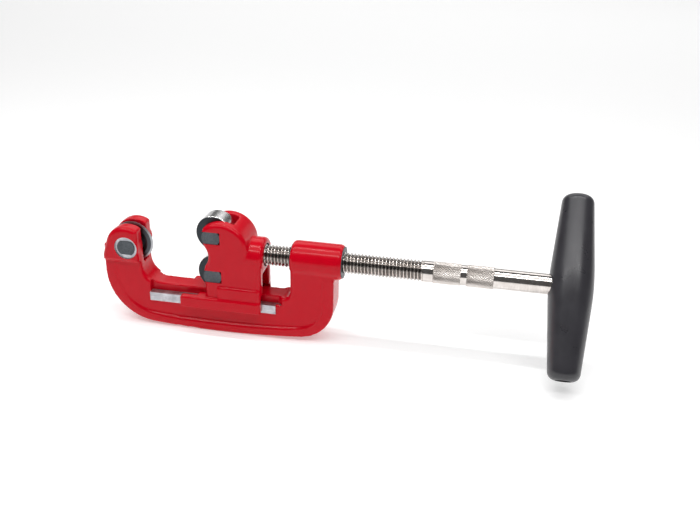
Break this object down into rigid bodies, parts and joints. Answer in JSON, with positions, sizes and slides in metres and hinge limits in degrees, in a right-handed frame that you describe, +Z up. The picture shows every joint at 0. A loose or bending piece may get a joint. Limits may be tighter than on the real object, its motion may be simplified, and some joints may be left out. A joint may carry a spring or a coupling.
{
  "type": "pipe cutter",
  "caption": "C-frame pipe cutter with a cutting wheel, a roller slide on a guide bar and a screw spindle with a T-handle.",
  "frame": {"origin": "where the axis of the gripped 48.3 mm pipe crosses the spindle axis, on the casting's middle plane", "axes": "+X along the spindle towards the T-handle, +Y along the gripped pipe, +Z up from the guide bar"},
  "size_m": [0.4201, 0.1106, 0.1406],
  "materials": {
    "paint": "gloss red enamel on cast iron, machined faces bare",
    "bright_steel": "nickel-plated, rolled thread",
    "ground_steel": "ground",
    "dark_steel": "blackened steel",
    "grip": "moulded black plastic, satin"
  },
  "bodies": {
    "frame": {"frame_casting": "paint", "spindle_nut": "bright_steel", "nut_lock_screw": "dark_steel", "wheel_pin": "dark_steel", "wheel_pin_clip": "dark_steel"},
    "wheel": {"cutter_wheel": "ground_steel"},
    "slide": {"slide_housing": "paint", "upper_roller_pin": "dark_steel", "lower_roller_pin": "dark_steel", "thrust_disc": "ground_steel", "keeper_pins": "ground_steel"},
    "upper_roller_body": {"upper_roller": "ground_steel"},
    "lower_roller_body": {"lower_roller": "ground_steel"},
    "spindle_body": {"spindle": "bright_steel", "handle": "grip", "handle_insert": "dark_steel", "handle_pin": "ground_steel"}
  },
  "joints": [
    {"name": "wheel_spin", "type": "hinge", "parent": "frame", "child": "wheel", "pos_m": [-0.04255, 0, 0], "axis": [0, 1, 0], "continuous": true},
    {"name": "slide_travel", "type": "slide", "parent": "frame", "child": "slide", "axis": [1, 0, 0], "range_m": [-0.0441, 0.0201]},
    {"name": "upper_roller_spin", "type": "hinge", "parent": "slide", "child": "upper_roller_body", "pos_m": [0.03579, 0, 0.0182], "axis": [0, 1, 0], "continuous": true},
    {"name": "lower_roller_spin", "type": "hinge", "parent": "slide", "child": "lower_roller_body", "pos_m": [0.03579, 0, -0.0182], "axis": [0, 1, 0], "continuous": true},
    {"name": "spindle_turn", "type": "hinge", "parent": "slide", "child": "spindle_body", "pos_m": [0.1, 0, 0], "axis": [1, 0, 0], "range_deg": [-5280, 2400]}
  ],
  "couplings": [
    {"joint": "slide_travel", "follows": "spindle_turn", "m_per_rad": 0.00047746}
  ]
}
